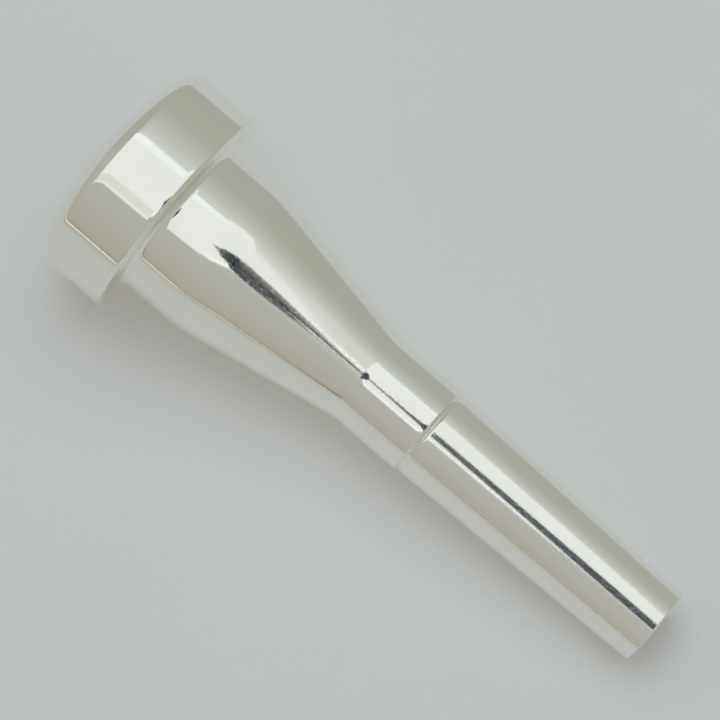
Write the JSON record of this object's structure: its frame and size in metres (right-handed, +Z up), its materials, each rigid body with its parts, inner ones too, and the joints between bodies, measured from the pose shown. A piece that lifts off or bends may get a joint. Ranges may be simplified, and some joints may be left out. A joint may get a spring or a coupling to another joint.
{
  "type": "trumpet mouthpiece",
  "caption": "Silver-plated trumpet mouthpiece that comes apart in rim, cup and shank, with open bowl, throat and backbore, lying on its side.",
  "frame": {"origin": "on the table, under the middle of the bounding box of the mouthpiece lying on its side", "axes": "+X along the mouthpiece from rim to shank end (the turning axis falls 7.08 degrees towards +X, as it lies), +Z up, +Y across"},
  "size_m": [0.083, 0.0276, 0.0283],
  "materials": {
    "rim_silver": "silver plate, mirror polished, faint turning lines",
    "cup_silver": "silver plate, mirror polished, faint turning lines",
    "shank_silver": "silver plate, mirror polished, fine scratches from the receiver"
  },
  "bodies": {
    "cup": {"cup": "cup_silver"},
    "rim": {"rim": "rim_silver"},
    "shank": {"shank": "shank_silver"}
  },
  "joints": [
    {"name": "rim_unscrew", "type": "slide", "parent": "cup", "child": "rim", "axis": [-0.9924, 0, 0.1233], "range_m": [0, 0.01]},
    {"name": "shank_unscrew", "type": "slide", "parent": "cup", "child": "shank", "axis": [0.9924, 0, -0.1233], "range_m": [0, 0.012]}
  ]
}
